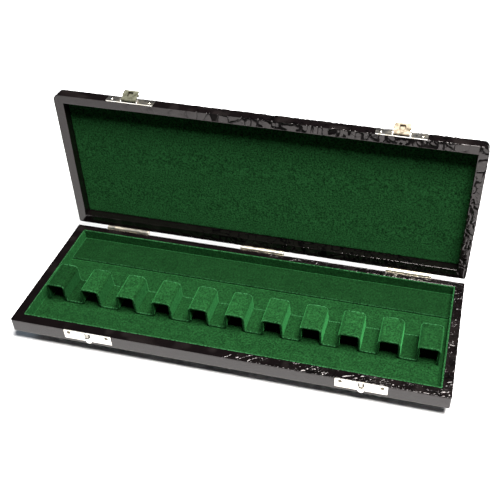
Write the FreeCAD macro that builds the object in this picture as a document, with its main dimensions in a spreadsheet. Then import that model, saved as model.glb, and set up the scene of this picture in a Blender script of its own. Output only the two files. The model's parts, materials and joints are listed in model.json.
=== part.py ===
import FreeCAD, Part
import math
import os
import re

import Sketcher

# A long, shallow display case for ten fountain pens, modelled standing open.
# Two wooden trays covered in leatherette are joined by three butt hinges on the back and shut by two
# lever catches on the front. The lower tray is lined with velvet and carries a corrugated pen rest.
#
# Axes: +X to the right, +Y to the back, +Z up. The origin is the centre of the underside.
# The lid and its fittings are drawn shut, lying on the base, and are then swung open about the hinge line.

SIZES = (
    # the two covered trays
    ("case_width", 440, "outside, left to right"),
    ("case_depth", 158, "outside, front to back, without hinges and catches"),
    ("base_height", 15.3, "outside height of the lower tray"),
    ("lid_height", 12.6, "outside height of the lid"),
    ("closing_gap", 0.2, "between the two rims when the case is shut"),
    ("open_angle", 92, "how far the hinges let the lid open"),
    ("skin", 0.5, "leatherette"),
    ("edge_round", 1.5, "outer edges of the covered trays"),
    ("core_round", 1.0, "outer edges of the boards under the leatherette"),
    ("base_front_rim", 10, "width of the base rim along the front"),
    ("base_back_rim", 7, "width of the base rim along the back"),
    ("base_side_rim", 9.5, "width of the base rim at each end"),
    ("lid_front_rim", 9, "width of the lid rim along the front"),
    ("lid_back_rim", 10, "width of the lid rim along the hinges"),
    ("lid_side_rim", 10, "width of the lid rim at each end"),
    ("bottom_board", 1.4, "thickness of the bottom panel"),
    ("top_board", 1.3, "thickness of the lid panel"),
    ("turn_in", 8, "how far the leatherette is folded under the base"),
    ("sheet_gap", 0.3, "round the underside sheet and the lid lining"),
    # velvet-covered card
    ("wall_card", 1.2, "lining strips on the base walls"),
    ("floor_card", 1.0, "lining of the base floor"),
    ("pad_card", 2.9, "raised pad along the back of the floor"),
    ("pad_front", 113.6, "front face of the case to the front edge of the pad"),
    ("lid_card", 0.6, "lining of the lid"),
    # corrugated pen rest
    ("hump_count", 11, "humps, with a pen slot between each two"),
    ("hump_pitch", 38.8, "from one hump to the next"),
    ("hump_top", 20, "hump width at the top"),
    ("hump_foot", 21.6, "hump width at the floor"),
    ("rest_height", 21.7, "height of the humps over the floor lining"),
    ("rest_depth", 34, "front to back"),
    ("rest_front", 47.5, "front face of the case to the front of the rest"),
    ("rest_sheet", 2.2, "thickness of the formed sheet"),
    ("rest_outer_round", 4.6, "outside of each bend"),
    ("rest_inner_round", 1.4, "inside of each bend"),
    # hinges
    ("hinge_spacing", 160, "middle of an outer hinge to the middle of the case"),
    ("middle_hinge_shift", -2, "the middle hinge sits a little to the left"),
    ("hinge_length", 49, "along the hinge line"),
    ("hinge_offset", 3.2, "hinge line behind the back faces"),
    ("barrel_radius", 2.9, "outside of the hinge knuckles"),
    ("hinge_pin_radius", 1.5, "hinge pin"),
    ("knuckle_count", 7, "knuckles on each hinge, four of them on the base leaf"),
    ("knuckle_gap", 0.15, "between neighbouring knuckles"),
    ("barrel_clearance", 0.15, "round a knuckle, in the notch of the other leaf"),
    ("leaf_thickness", 1.0, "hinge leaf"),
    ("leaf_height", 10.4, "hinge leaf, from the hinge line"),
    ("hinge_nail_step", 17, "between the three nails in a leaf"),
    ("hinge_nail_drop", 6.4, "nails from the hinge line"),
    # nails and pins
    ("nail_radius", 0.6, "nail shank"),
    ("nail_length", 4.5, "nail shank under the head"),
    ("nail_head_radius", 1.9, "domed nail head"),
    ("nail_head_height", 0.8, "domed nail head"),
    ("fit_clearance", 0.04, "radial clearance round every pin and nail"),
    # catches
    ("catch_x", 137, "middle of the case to the middle of a catch"),
    ("catch_length", 50, "both catch plates"),
    ("catch_sheet", 0.8, "thickness of both catch plates"),
    ("plate_inset", 0.1, "from the rim to the edge of a plate"),
    ("corner_round", 0.8, "corners of the catch plates"),
    ("catch_nail_x", 20, "nails from the middle of a plate"),
    ("keeper_height", 11.2, "catch plate on the base"),
    ("keeper_nail_drop", 3.4, "rim to the nails in the base plate"),
    ("keeper_tab_radius", 3.1, "rounded tab under the base plate"),
    ("tongue_width", 4, "hook bent out of the base plate"),
    ("tongue_root", 1.3, "rim to the root of the hook"),
    ("tongue_end", 6.1, "rim to the free end of the hook"),
    ("tongue_reach", 3.0, "how far the hook stands off the front face"),
    ("tongue_slot_gap", 0.5, "round the hook, in the base plate"),
    ("lid_plate_height", 9.8, "catch plate on the lid"),
    ("lid_plate_nail_rise", 5, "lid rim to the nails in the lid plate"),
    ("pivot_lift", 2.6, "lever pin in front of the front faces"),
    ("pivot_rise", 2.2, "lever pin above the lid rim"),
    ("lever_barrel_radius", 1.8, "knuckle of the lever and its ears"),
    ("latch_pin_radius", 0.7, "lever pin"),
    ("ear_width", 1.2, "ear at each end of the lever"),
    ("ear_gap", 0.15, "between an ear and the lever"),
    ("lever_width", 15.5, "lever"),
    ("lever_sheet", 0.9, "thickness of the lever"),
    ("lever_inset", 1.4, "lever pin to the inner face of the lever"),
    ("lever_flat", 8.9, "flat length of the lever from its pin"),
    ("lever_bend", 11.1, "lever pin to the middle of the curled end"),
    ("lever_bend_out", 1.05, "how far the middle of the curled end stands out"),
    ("lever_length", 12.6, "whole length of the lever from its pin"),
    ("lever_lip", 3.0, "how far the free end of the lever stands out"),
    ("lever_roll_radius", 1.25, "stiffening roll across the lever"),
    ("lever_roll_width", 17, "stiffening roll across the lever"),
    ("lever_roll_drop", 6.2, "lever pin to the roll"),
    ("pocket_width", 5.6, "pocket pressed into the lever, which drops over the hook"),
    ("pocket_start", 3.2, "lever pin to the pocket"),
    ("pocket_end", 8.9, "lever pin to the far end of the pocket"),
    ("pocket_bulge", 2.0, "how far the pocket bulges out of the lever"),
    ("pocket_wall", 0.6, "metal round the pocket"),
    ("thumb_hollow_radius", 16, "hollowed free edge of the lever"),
    ("thumb_hollow_depth", 1.0, "hollowed free edge of the lever"),
    ("lever_angle", 150, "lever as it stands, from its shut position"),
)
ALIASES = {alias for alias, value, meaning in SIZES}

# Planes and lines that several pieces share, as formulas of the sizes, with the lid shut.
LEFT = "-case_width/2"
RIGHT = "case_width/2"
FRONT = "-case_depth/2"
BACK = "case_depth/2"
BASE_RIM = "base_height"
BASE_FLOOR = "(skin + bottom_board)"
FLOOR_TOP = "(skin + bottom_board + floor_card)"
LID_RIM = "(base_height + closing_gap)"
LID_TOP = "(base_height + closing_gap + lid_height)"
LID_CEILING = "(base_height + closing_gap + lid_height - skin - top_board)"
HINGE_Y = "(case_depth/2 + hinge_offset)"
HINGE_Z = "(base_height + closing_gap/2)"
PIVOT_Y = "(-case_depth/2 - pivot_lift)"
PIVOT_Z = "(base_height + closing_gap + pivot_rise)"
HINGES = (("left", "-hinge_spacing"), ("middle", "middle_hinge_shift"), ("right", "hinge_spacing"))
CATCHES = (("left", "-catch_x"), ("right", "catch_x"))

doc = FreeCAD.newDocument("fountain_pen_case")
sheet = doc.addObject("Spreadsheet::Sheet", "Sizes")
for row, (alias, value, meaning) in enumerate(SIZES, start=1):
    sheet.set(f"A{row}", alias)
    sheet.set(f"B{row}", str(value))
    sheet.set(f"C{row}", meaning)
    sheet.setAlias(f"B{row}", alias)
doc.recompute()

parts = []


def formula(text):
    """Points every size named in a formula at its cell in the sheet."""
    return re.sub(r"[a-z_]+", lambda m: "Sizes." + m[0] if m[0] in ALIASES else m[0], text)


def bind(thing, prop, text):
    thing.setExpression(prop, formula(text))


def named(thing, label):
    """Marks a finished sub-part, whose label names its file."""
    thing.Label = label
    parts.append(thing)
    return thing


def turn_about(y, z, angle):
    """The formula of a placement that turns a piece about a line along X through (y, z)."""
    return (
        "create(<<placement>>; create(<<vector>>; 0; 0; 0);"
        f" create(<<rotation>>; create(<<vector>>; 1; 0; 0); {angle});"
        f" create(<<vector>>; 0; {y}; {z}))"
    )


OPENED = turn_about(HINGE_Y, HINGE_Z, "-open_angle")
RAISED = turn_about(PIVOT_Y, PIVOT_Z, "-lever_angle")


def swing_open(thing):
    """Carries a piece of the lid from its shut place to its open one."""
    bind(thing, "Placement", OPENED)
    return thing


# ---------------------------------------------------------------- building blocks


def block(low, high):
    """A rectangular block between two corners."""
    box = doc.addObject("Part::Box", "block")
    for prop, axis, start, end in zip(("Length", "Width", "Height"), "xyz", low, high):
        bind(box, prop, f"({end}) - ({start})")
        bind(box, f"Placement.Base.{axis}", start)
    return box


def rod(axis, start, length, radius):
    """A cylinder from a start point along +X, or along +Y."""
    cylinder = doc.addObject("Part::Cylinder", "rod")
    bind(cylinder, "Radius", radius)
    bind(cylinder, "Height", length)
    turned = {"x": "create(<<vector>>; 0; 1; 0); 90", "y": "create(<<vector>>; 1; 0; 0); -90"}[axis]
    x, y, z = start
    bind(
        cylinder,
        "Placement",
        f"create(<<placement>>; create(<<vector>>; {x}; {y}; {z}); create(<<rotation>>; {turned}))",
    )
    return cylinder


def fuse(*shapes):
    joined = doc.addObject("Part::MultiFuse", "joined")
    joined.Shapes = list(shapes)
    joined.Refine = True
    return joined


def cut(base, *tools):
    result = doc.addObject("Part::Cut", "cut")
    result.Base = base
    result.Tool = tools[0] if len(tools) == 1 else fuse(*tools)
    return result


def common(first, second):
    result = doc.addObject("Part::Common", "common")
    result.Base = first
    result.Tool = second
    return result


def group(shapes):
    """Separate solids that share one node."""
    compound = doc.addObject("Part::Compound", "group")
    compound.Links = shapes
    return compound


def profile(body, plane, corners):
    """A closed sketch of straight lines on one of the body's own planes; each corner is a pair of formulas."""
    sketch = body.newObject("Sketcher::SketchObject", "profile")
    support = next(o for o in body.Origin.OriginFeatures if o.Role == plane)
    sketch.AttachmentSupport = [(support, "")]
    sketch.MapMode = "FlatFace"
    count = len(corners)
    steps = [2 * math.pi * k / count for k in range(count)]
    start = [FreeCAD.Vector(math.cos(a), math.sin(a), 0) for a in steps]
    for k in range(count):
        sketch.addGeometry(Part.LineSegment(start[k], start[(k + 1) % count]))
    for k in range(count):
        sketch.addConstraint(Sketcher.Constraint("Coincident", k, 2, (k + 1) % count, 1))
    for k, corner in enumerate(corners):
        for kind, place in zip(("DistanceX", "DistanceY"), corner):
            index = sketch.addConstraint(Sketcher.Constraint(kind, -1, 1, k, 1, 1.0))
            bind(sketch, f"Constraints[{index}]", place)
    return sketch


def extruded(plane, corners, length, both_ways=False):
    """A body padded from a straight-sided profile."""
    body = doc.addObject("PartDesign::Body", "body")
    sketch = profile(body, plane, corners)
    pad = body.newObject("PartDesign::Pad", "pad")
    pad.Profile = sketch
    pad.Midplane = both_ways
    bind(pad, "Length", length)
    return body


def round_edges(body, feature, edges, radius):
    fillet = body.newObject("PartDesign::Fillet", "rounding")
    fillet.Base = (feature, edges)
    bind(fillet, "Radius", radius)
    doc.recompute()
    return fillet


def rounded_box(low, high, radius):
    """A box with every edge rounded."""
    (x0, y0, z0), (x1, y1, z1) = low, high
    body = extruded("XY_Plane", [(x0, y0), (x1, y0), (x1, y1), (x0, y1)], f"({z1}) - ({z0})")
    bind(body, "Placement.Base.z", z0)
    doc.recompute()
    pad = body.Tip
    round_edges(body, pad, [f"Edge{k + 1}" for k in range(len(pad.Shape.Edges))], radius)
    return body


# ---------------------------------------------------------------- nails

NAIL_TURN = {"front": 90, "back": -90}


def nail(side, x, y, z):
    """A domed nail driven into the front or the back face, its head standing on (x, y, z)."""
    head = doc.addObject("Part::Ellipsoid", "head")
    bind(head, "Radius1", "nail_head_height")
    bind(head, "Radius2", "nail_head_radius")
    head.Angle1 = 0
    shank = doc.addObject("Part::Cylinder", "shank")
    bind(shank, "Radius", "nail_radius")
    bind(shank, "Height", "nail_length + nail_head_height/2")
    bind(shank, "Placement.Base.z", "-nail_length")
    whole = fuse(head, shank)
    bind(
        whole,
        "Placement",
        f"create(<<placement>>; create(<<vector>>; {x}; {y}; {z});"
        f" create(<<rotation>>; create(<<vector>>; 1; 0; 0); {NAIL_TURN[side]}))",
    )
    return whole


def nail_hole(x, y, z):
    """The hole for a nail, along Y and well past both ends of its shank."""
    start = (x, f"({y}) - 2*nail_length", z)
    return rod("y", start, "4*nail_length", "nail_radius + fit_clearance")


def nail_row(side, places):
    return [nail(side, *place) for place in places], fuse(*[nail_hole(*place) for place in places])


def catch_nail_places(y, z):
    return [
        (f"({centre}) {sign} catch_nail_x", y, z)
        for name, centre in CATCHES
        for sign in ("-", "+")
    ]


def hinge_nail_places(y, z):
    return [
        (f"({centre}) + ({step})*hinge_nail_step", y, z)
        for name, centre in HINGES
        for step in (-1, 0, 1)
    ]


catch_face = "(-case_depth/2 - catch_sheet)"
hinge_face = "(case_depth/2 + leaf_thickness)"
base_catch_places = catch_nail_places(catch_face, f"({BASE_RIM}) - keeper_nail_drop")
lid_catch_places = catch_nail_places(catch_face, f"{LID_RIM} + lid_plate_nail_rise")
base_hinge_places = hinge_nail_places(hinge_face, f"{HINGE_Z} - hinge_nail_drop")
lid_hinge_places = hinge_nail_places(hinge_face, f"{HINGE_Z} + hinge_nail_drop")

base_catch_nails, base_catch_holes = nail_row("front", base_catch_places)
lid_catch_nails, lid_catch_holes = nail_row("front", lid_catch_places)
base_hinge_nails, base_hinge_holes = nail_row("back", base_hinge_places)
lid_hinge_nails, lid_hinge_holes = nail_row("back", lid_hinge_places)

named(group(base_catch_nails), "base_catch_nails")
named(group(base_hinge_nails), "hinge_base_nails")
named(swing_open(group(lid_catch_nails)), "lid_catch_nails")
named(swing_open(group(lid_hinge_nails)), "hinge_lid_nails")

# ---------------------------------------------------------------- covered wooden trays


def tray_core(low_z, high_z, opening_low, opening_high):
    """The wood of one tray: a box inside the leatherette, hollowed out one skin wider than the lined opening."""
    core = rounded_box(
        (f"{LEFT} + skin", f"{FRONT} + skin", f"{low_z} + skin"),
        (f"{RIGHT} - skin", f"{BACK} - skin", f"{high_z} - skin"),
        "core_round",
    )
    hollow_low = [f"({opening_low[0]}) - skin", f"({opening_low[1]}) - skin", opening_low[2]]
    hollow_high = [f"({opening_high[0]}) + skin", f"({opening_high[1]}) + skin", opening_high[2]]
    return cut(core, block(hollow_low, hollow_high))


def slice_of(core, low, high, holes=None):
    board = common(core, block(low, high))
    return cut(board, holes) if holes else board


def wall_boards(core, low_z, high_z, front_rim, back_rim, side_rim, front_holes, back_holes):
    """Four wall boards, butted at the corners: the front and back boards run the whole width."""
    front_inner = f"{FRONT} + {front_rim} - skin"
    back_inner = f"{BACK} - {back_rim} + skin"
    left_inner = f"{LEFT} + {side_rim} - skin"
    right_inner = f"{RIGHT} - {side_rim} + skin"
    return {
        "front": slice_of(core, (LEFT, FRONT, low_z), (RIGHT, front_inner, high_z), front_holes),
        "back": slice_of(core, (LEFT, back_inner, low_z), (RIGHT, BACK, high_z), back_holes),
        "left": slice_of(core, (LEFT, front_inner, low_z), (left_inner, back_inner, high_z)),
        "right": slice_of(core, (right_inner, front_inner, low_z), (RIGHT, back_inner, high_z)),
    }


def base_tray():
    """Boards, leatherette and underside sheet of the lower tray."""
    opening_low = (f"{LEFT} + base_side_rim", f"{FRONT} + base_front_rim", BASE_FLOOR)
    opening_high = (f"{RIGHT} - base_side_rim", f"{BACK} - base_back_rim", f"{BASE_RIM} + skin")
    core = tray_core("0", BASE_RIM, opening_low, opening_high)
    walls = wall_boards(
        core, BASE_FLOOR, BASE_RIM, "base_front_rim", "base_back_rim", "base_side_rim",
        base_catch_holes, base_hinge_holes,
    )
    for side, board in walls.items():
        named(board, f"base_{side}_board")
    named(slice_of(core, (LEFT, FRONT, "0"), (RIGHT, BACK, BASE_FLOOR)), "base_bottom_board")

    outside = rounded_box((LEFT, FRONT, "0"), (RIGHT, BACK, BASE_RIM), "edge_round")
    recess = block(
        (f"{LEFT} + turn_in", f"{FRONT} + turn_in", "-skin"),
        (f"{RIGHT} - turn_in", f"{BACK} - turn_in", "skin"),
    )
    opening = block(opening_low, opening_high)
    cover = cut(outside, core, opening, recess, base_catch_holes, base_hinge_holes)
    named(cover, "base_cover")
    sheet_low = (f"{LEFT} + turn_in + sheet_gap", f"{FRONT} + turn_in + sheet_gap", "0")
    sheet_high = (f"{RIGHT} - turn_in - sheet_gap", f"{BACK} - turn_in - sheet_gap", "skin")
    named(block(sheet_low, sheet_high), "base_underside_sheet")


def lid_tray():
    """Boards, leatherette and lining of the lid."""
    opening_low = (f"{LEFT} + lid_side_rim", f"{FRONT} + lid_front_rim", f"{LID_RIM} - skin")
    opening_high = (f"{RIGHT} - lid_side_rim", f"{BACK} - lid_back_rim", LID_CEILING)
    core = tray_core(LID_RIM, LID_TOP, opening_low, opening_high)
    walls = wall_boards(
        core, LID_RIM, LID_CEILING, "lid_front_rim", "lid_back_rim", "lid_side_rim",
        lid_catch_holes, lid_hinge_holes,
    )
    for side, board in walls.items():
        named(swing_open(board), f"lid_{side}_board")
    top_board = slice_of(core, (LEFT, FRONT, LID_CEILING), (RIGHT, BACK, LID_TOP))
    named(swing_open(top_board), "lid_top_board")

    outside = rounded_box((LEFT, FRONT, LID_RIM), (RIGHT, BACK, LID_TOP), "edge_round")
    cover = cut(outside, core, block(opening_low, opening_high), lid_catch_holes, lid_hinge_holes)
    named(swing_open(cover), "lid_cover")
    lining = common(
        block(
            (f"{LEFT} + lid_side_rim + sheet_gap", f"{FRONT} + lid_front_rim + sheet_gap", LID_RIM),
            (f"{RIGHT} - lid_side_rim - sheet_gap", f"{BACK} - lid_back_rim - sheet_gap", LID_CEILING),
        ),
        block((LEFT, FRONT, f"{LID_CEILING} - lid_card"), (RIGHT, BACK, LID_CEILING)),
    )
    named(swing_open(lining), "lid_lining")


# ---------------------------------------------------------------- velvet lining and pen rest


def base_lining():
    """Velvet-covered card: a strip on each wall, the floor, and a raised pad along the back."""
    left, right = f"{LEFT} + base_side_rim", f"{RIGHT} - base_side_rim"
    front, back = f"{FRONT} + base_front_rim", f"{BACK} - base_back_rim"
    inner_left, inner_right = f"{left} + wall_card", f"{right} - wall_card"
    inner_front, inner_back = f"{front} + wall_card", f"{back} - wall_card"
    pad_line = f"{FRONT} + pad_front"
    strips = {
        "front": ((left, front), (right, inner_front)),
        "back": ((left, inner_back), (right, back)),
        "left": ((left, inner_front), (inner_left, inner_back)),
        "right": ((inner_right, inner_front), (right, inner_back)),
    }
    for side, (low, high) in strips.items():
        named(block((*low, BASE_FLOOR), (*high, BASE_RIM)), f"lining_{side}")
    floor = block((inner_left, inner_front, BASE_FLOOR), (inner_right, pad_line, FLOOR_TOP))
    named(floor, "lining_floor")
    pad_top = f"{BASE_FLOOR} + pad_card"
    named(block((inner_left, pad_line, BASE_FLOOR), (inner_right, inner_back, pad_top)), "back_pad")


def pen_rest():
    """One hump with half a slot floor on each side, bent from sheet and repeated along the rest."""
    half_pitch, half_foot, half_top = "hump_pitch/2", "hump_foot/2", "hump_top/2"
    top, sheet_top = "rest_height", "rest_sheet"
    right_outer = [(half_pitch, sheet_top), (half_foot, sheet_top), (half_top, top)]
    right_inner = [
        (f"{half_top} - rest_sheet", f"{top} - rest_sheet"),
        (f"{half_foot} - rest_sheet", "0"),
        (half_pitch, "0"),
    ]

    def mirrored(corners):
        return [(f"-({x})", z) for x, z in reversed(corners)]

    corners = mirrored(right_inner) + right_inner + right_outer + mirrored(right_outer)
    body = extruded("XZ_Plane", corners, "rest_depth", both_ways=True)
    doc.recompute()
    pad = body.Tip

    def edges_at_height(shape, height, inside):
        """Names of the long edges at one height and within a distance of the middle."""
        found = []
        for k, edge in enumerate(shape.Edges, start=1):
            box = edge.BoundBox
            straight = box.YLength > box.XLength + box.ZLength
            if straight and abs(box.ZMin - height) < 0.01 and abs(box.Center.x) < inside:
                found.append(f"Edge{k}")
        return found

    height, thickness = sheet.rest_height, sheet.rest_sheet
    foot = sheet.hump_foot / 2 + thickness / 2
    outer_bends = edges_at_height(pad.Shape, height, foot) + edges_at_height(pad.Shape, 0, foot)
    outside = round_edges(body, pad, outer_bends, "rest_outer_round")
    inner_bends = [
        name
        for level in (height - thickness, thickness)
        for name in edges_at_height(outside.Shape, level, foot)
    ]
    round_edges(body, outside, inner_bends, "rest_inner_round")

    row = body.newObject("PartDesign::LinearPattern", "row")
    row.TransformMode = "Whole shape"
    x_axis = next(o for o in body.Origin.OriginFeatures if o.Role == "X_Axis")
    row.Direction = (x_axis, [""])
    bind(row, "Length", "hump_pitch*(hump_count - 1)")
    bind(row, "Occurrences", "hump_count")
    body.Tip = row
    bind(body, "Placement.Base.x", "-hump_pitch*(hump_count - 1)/2")
    bind(body, "Placement.Base.y", f"{FRONT} + rest_front + rest_depth/2")
    bind(body, "Placement.Base.z", FLOOR_TOP)

    # the half slot floors past the first and last humps are trimmed away
    reach = "(hump_pitch*(hump_count - 1)/2 + hump_foot/2)"
    trimmed = block((f"-{reach}", FRONT, FLOOR_TOP), (reach, BACK, f"{FLOOR_TOP} + 2*rest_height"))
    named(common(body, trimmed), "pen_rest")


# ---------------------------------------------------------------- hinges


def knuckle(start, index, radius, grow):
    """One stretch of the barrel, from the hinge's left end; grow lengthens it at both ends."""
    pitch = "hinge_length/knuckle_count"
    x = f"({start}) + {index}*{pitch} + knuckle_gap/2 - ({grow})"
    return rod("x", (x, HINGE_Y, HINGE_Z), f"{pitch} - knuckle_gap + 2*({grow})", radius)


def leaf(start, low_z, high_z, own, others, holes):
    """A hinge leaf: a plate, its own knuckles, and notches round the knuckles of the other leaf."""
    plate = block(
        (start, BACK, low_z),
        (f"({start}) + hinge_length", f"{BACK} + leaf_thickness", high_z),
    )
    knuckles = [knuckle(start, index, "barrel_radius", "0") for index in own]
    notches = [
        knuckle(start, index, "barrel_radius + barrel_clearance", "knuckle_gap") for index in others
    ]
    bore = rod(
        "x", (f"({start}) - knuckle_gap", HINGE_Y, HINGE_Z), "hinge_length + 2*knuckle_gap",
        "hinge_pin_radius + fit_clearance",
    )
    return cut(fuse(plate, *knuckles), bore, *notches, holes)


def hinge(name, centre):
    start = f"({centre}) - hinge_length/2"
    base_knuckles, lid_knuckles = (0, 2, 4, 6), (1, 3, 5)
    half_gap = "knuckle_gap/2"
    base_leaf = leaf(
        start, f"{HINGE_Z} - leaf_height", f"{HINGE_Z} - {half_gap}",
        base_knuckles, lid_knuckles, base_hinge_holes,
    )
    lid_leaf = leaf(
        start, f"{HINGE_Z} + {half_gap}", f"{HINGE_Z} + leaf_height",
        lid_knuckles, base_knuckles, lid_hinge_holes,
    )
    named(base_leaf, f"hinge_{name}_base_leaf")
    named(swing_open(lid_leaf), f"hinge_{name}_lid_leaf")
    pin_start = (f"({start}) + {half_gap}", HINGE_Y, HINGE_Z)
    named(rod("x", pin_start, "hinge_length - knuckle_gap", "hinge_pin_radius"), f"hinge_{name}_pin")


# ---------------------------------------------------------------- catches


def catch_plate(centre, low_z, high_z):
    """A thin plate on the front face with rounded corners."""
    left, right = f"({centre}) - catch_length/2", f"({centre}) + catch_length/2"
    corners = [(left, low_z), (right, low_z), (right, high_z), (left, high_z)]
    body = extruded("XZ_Plane", corners, "catch_sheet")
    bind(body, "Placement.Base.y", FRONT)
    doc.recompute()
    pad = body.Tip
    short = [
        f"Edge{k}" for k, edge in enumerate(pad.Shape.Edges, start=1)
        if edge.BoundBox.YLength > edge.BoundBox.XLength + edge.BoundBox.ZLength
    ]
    round_edges(body, pad, short, "corner_round")
    return body


def keeper(name, centre):
    """The plate on the base, with a hook bent out of it for the lever and a rounded tab under the hook."""
    top = f"{BASE_RIM} - plate_inset"
    bottom = f"{top} - keeper_height"
    plate = catch_plate(centre, bottom, top)
    tab = rod(
        "y", (centre, f"{FRONT} - catch_sheet", f"{bottom} + plate_inset"), "catch_sheet",
        "keeper_tab_radius",
    )
    root, end = f"{BASE_RIM} - tongue_root", f"{BASE_RIM} - tongue_end"
    slot_half = "(tongue_width/2 + tongue_slot_gap)"
    slot = block(
        (f"({centre}) - {slot_half}", f"{FRONT} - catch_sheet", f"{end} - tongue_slot_gap"),
        (f"({centre}) + {slot_half}", FRONT, f"{root} - tongue_slot_gap"),
    )
    tongue = extruded(
        "YZ_Plane",
        [
            (FRONT, root),
            (f"{FRONT} - catch_sheet", root),
            (f"{FRONT} - tongue_reach", end),
            (f"{FRONT} - tongue_reach + catch_sheet", end),
            (FRONT, f"{root} - catch_sheet"),
        ],
        "tongue_width",
        both_ways=True,
    )
    bind(tongue, "Placement.Base.x", centre)
    named(cut(fuse(cut(fuse(plate, tab), slot), tongue), base_catch_holes), f"base_catch_{name}")


def lid_catch(name, centre):
    """The plate on the lid, with an ear at each end of the lever to hold its pin."""
    low = f"{LID_RIM} + plate_inset"
    plate = catch_plate(centre, low, f"{low} + lid_plate_height")
    ears = []
    for side in ("-", "+"):
        near = f"({centre}) {side} (lever_width/2 + ear_gap)"
        far = f"({centre}) {side} (lever_width/2 + ear_gap + ear_width)"
        left, right = (far, near) if side == "-" else (near, far)
        ears.append(
            block(
                (left, PIVOT_Y, f"{PIVOT_Z} - lever_barrel_radius"),
                (right, f"{FRONT} - catch_sheet/2", f"{PIVOT_Z} + lever_barrel_radius"),
            )
        )
        ears.append(rod("x", (left, PIVOT_Y, PIVOT_Z), "ear_width", "lever_barrel_radius"))
    half = "(lever_width/2 + ear_gap + ear_width)"
    start = (f"({centre}) - {half}", PIVOT_Y, PIVOT_Z)
    bore = rod("x", start, f"2*{half}", "latch_pin_radius + fit_clearance")
    plate_with_ears = cut(fuse(plate, *ears), bore, lid_catch_holes)
    named(swing_open(plate_with_ears), f"lid_catch_{name}")
    pin = rod("x", start, f"2*{half}", "latch_pin_radius")
    # the pin keeps the placement that lays it along X, so a group carries it open
    named(swing_open(group([pin])), f"latch_{name}_pin")


def lever_strap(inner, outer):
    """Profile of the lever's strap: flat from the pin down, then curled out to its free end."""
    flat_z = f"{PIVOT_Z} - lever_flat"
    bend_z = f"{PIVOT_Z} - lever_bend"
    tip_z = f"{PIVOT_Z} - lever_length"
    inside = [
        (inner, PIVOT_Z),
        (inner, flat_z),
        (f"{inner} - lever_bend_out", bend_z),
        (f"{inner} - lever_lip", tip_z),
    ]
    outside = [
        (f"{inner} - lever_lip - lever_sheet/2", f"{tip_z} + lever_sheet"),
        (f"{outer} - lever_bend_out", f"{bend_z} + lever_sheet/2"),
        (outer, flat_z),
        (outer, PIVOT_Z),
    ]
    return inside + outside


def lever(name, centre):
    """The catch lever, drawn shut: knuckle, strap, stiffening roll, and the pocket that drops over the hook."""
    inner = f"{PIVOT_Y} + lever_inset"
    outer = f"{PIVOT_Y} + lever_inset - lever_sheet"
    strap = extruded("YZ_Plane", lever_strap(inner, outer), "lever_width", both_ways=True)
    bind(strap, "Placement.Base.x", centre)
    left = f"({centre}) - lever_width/2"
    barrel = rod("x", (left, PIVOT_Y, PIVOT_Z), "lever_width", "lever_barrel_radius")
    roll_start = (
        f"({centre}) - lever_roll_width/2",
        f"{outer} - lever_roll_radius/2",
        f"{PIVOT_Z} - lever_roll_drop",
    )
    roll = rod("x", roll_start, "lever_roll_width", "lever_roll_radius")
    bore = rod("x", (left, PIVOT_Y, PIVOT_Z), "lever_width", "latch_pin_radius + fit_clearance")
    low_z, high_z = f"{PIVOT_Z} - pocket_end", f"{PIVOT_Z} - pocket_start"
    half = "pocket_width/2"
    bulge = block(
        (f"({centre}) - {half} - pocket_wall", f"{outer} - pocket_bulge", f"{low_z} - pocket_wall"),
        (f"({centre}) + {half} + pocket_wall", inner, f"{high_z} + pocket_wall"),
    )
    pocket = block(
        (f"({centre}) - {half}", f"{outer} - pocket_bulge + pocket_wall", low_z),
        (f"({centre}) + {half}", FRONT, high_z),
    )
    hollow_z = f"{PIVOT_Z} - lever_length - thumb_hollow_radius + thumb_hollow_depth"
    hollow = rod("y", (centre, f"{PIVOT_Y} - 2*lever_lip", hollow_z), "4*lever_lip", "thumb_hollow_radius")
    whole = cut(fuse(strap, barrel, roll, bulge), bore, pocket, hollow)
    bind(whole, "Placement", f"{OPENED} * {RAISED}")
    named(whole, f"latch_{name}_lever")


base_tray()
lid_tray()
base_lining()
pen_rest()
for hinge_name, hinge_centre in HINGES:
    hinge(hinge_name, hinge_centre)
for catch_name, catch_centre in CATCHES:
    keeper(catch_name, catch_centre)
    lid_catch(catch_name, catch_centre)
    lever(catch_name, catch_centre)

# ---------------------------------------------------------------- checks and export

doc.recompute()
failed = [o.Name for o in doc.Objects if {"Invalid", "Error"} & set(o.State)]
if failed:
    raise RuntimeError(f"objects failed to build: {failed}")
for part in parts:
    if part.Shape.isNull() or not part.Shape.isValid() or not part.Shape.Solids:
        raise RuntimeError(f"{part.Label} has no valid solid")

os.makedirs("parts", exist_ok=True)
for part in parts:
    part.Shape.exportStep(f"parts/{part.Label}.step")
print(f"{len(parts)} sub-parts written")
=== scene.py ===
import json
import math

import bmesh
import bpy
import numpy as np
from mathutils import Matrix, Vector


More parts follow.
